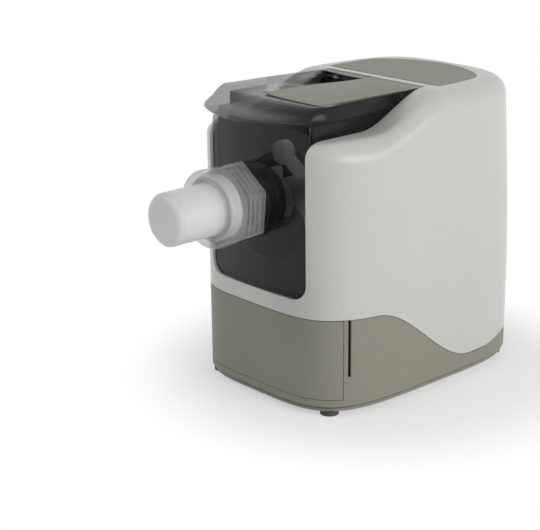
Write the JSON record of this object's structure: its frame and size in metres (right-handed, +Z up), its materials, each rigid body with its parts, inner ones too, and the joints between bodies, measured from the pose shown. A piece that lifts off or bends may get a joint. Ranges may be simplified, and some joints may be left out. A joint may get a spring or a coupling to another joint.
{
  "type": "electric pasta maker",
  "caption": "Countertop electric pasta maker: motor-driven kneading bowl with hinged smoky lid, extrusion head with die and screw nut, and a storage drawer in the base.",
  "frame": {"origin": "on the surface under the feet, below the middle of the whole machine's box", "axes": "+Z up, die head and front towards -Y, +X to the right seen from the front"},
  "size_m": [0.212, 0.3996, 0.2994],
  "materials": {
    "white_casing": "satin white ABS",
    "grey_casing": "fine satin warm grey",
    "smoky_plastic": "clear polycarbonate tinted smoky grey",
    "clear_plastic": "clear polycarbonate",
    "milky_plastic": "food-grade milky white",
    "rubber": "grey rubber",
    "black_plastic": "moulded black",
    "frame_plastic": "moulded dark grey",
    "steel": "machined steel",
    "gearbox_plastic": "glass-filled dark grey",
    "gear_plastic": "natural acetal",
    "circuit_board": "green solder mask",
    "board_parts": "mixed components",
    "wire": "insulated wire"
  },
  "bodies": {
    "housing": {"rubber_feet": "rubber", "base_floor": "grey_casing", "base_screws": "steel", "base_shell": "grey_casing", "upper_shell": "white_casing", "control_panel": "grey_casing", "control_board": "circuit_board", "power_inlet": "black_plastic", "inlet_pins": "steel", "power_board": "circuit_board", "board_parts": "board_parts", "wiring": "wire", "chassis": "frame_plastic", "drawer_rails": "frame_plastic", "mixing_bowl": "smoky_plastic", "bowl_gasket": "rubber", "shaft_seal": "rubber", "lid_sensor": "black_plastic", "hinge_pins": "steel", "gearbox_case": "gearbox_plastic", "gearbox_cover": "gearbox_plastic", "gearbox_screws": "steel", "front_bearing": "steel", "rear_bearing": "steel", "idler_axle": "steel", "motor_can": "steel", "motor_end_cap": "black_plastic", "motor_screws": "steel"},
    "rotor": {"rotor_shaft": "steel", "motor_pinion": "steel", "cooling_fan": "black_plastic"},
    "idler": {"idler_gear": "gear_plastic"},
    "output": {"output_gear": "gear_plastic", "drive_shaft": "steel", "kneading_paddle": "milky_plastic", "extrusion_screw": "milky_plastic"},
    "cover": {"front_cover": "smoky_plastic", "extrusion_barrel": "smoky_plastic"},
    "die": {"die_head": "milky_plastic", "die_seal": "rubber"},
    "nut": {"clamp_nut": "clear_plastic"},
    "lid": {"lid_shell": "smoky_plastic", "lid_hinge_barrel": "smoky_plastic", "lid_plate": "grey_casing", "lid_magnet": "steel"},
    "drawer": {"drawer_front": "grey_casing", "drawer_tray": "grey_casing"}
  },
  "joints": [
    {"name": "rotor_spin", "type": "hinge", "parent": "housing", "child": "rotor", "pos_m": [0, 0.11423, 0.1015], "axis": [0, -1, 0], "continuous": true},
    {"name": "idler_spin", "type": "hinge", "parent": "housing", "child": "idler", "pos_m": [0, 0.09423, 0.142], "axis": [0, -1, 0], "continuous": true},
    {"name": "output_spin", "type": "hinge", "parent": "housing", "child": "output", "pos_m": [0, 0.05423, 0.202], "axis": [0, -1, 0], "continuous": true},
    {"name": "cover_pull", "type": "slide", "parent": "housing", "child": "cover", "axis": [0, -1, 0], "range_m": [0, 0.06]},
    {"name": "head_slide", "type": "slide", "parent": "cover", "child": "die", "axis": [0, -1, 0], "range_m": [0, 0.0151]},
    {"name": "nut_turn", "type": "hinge", "parent": "die", "child": "nut", "pos_m": [0, -0.12577, 0.202], "axis": [0, -1, 0], "range_deg": [0, 1080]},
    {"name": "lid_hinge", "type": "hinge", "parent": "housing", "child": "lid", "pos_m": [0, 0.06543, 0.2881], "axis": [-1, 0, 0], "range_deg": [0, 80]},
    {"name": "drawer_slide", "type": "slide", "parent": "housing", "child": "drawer", "axis": [0, -1, 0], "range_m": [0, 0.11]}
  ],
  "couplings": [
    {"joint": "idler_spin", "follows": "rotor_spin", "ratio": -0.28571},
    {"joint": "output_spin", "follows": "rotor_spin", "ratio": 0.071429},
    {"joint": "head_slide", "follows": "nut_turn", "m_per_rad": 0.00079577}
  ]
}
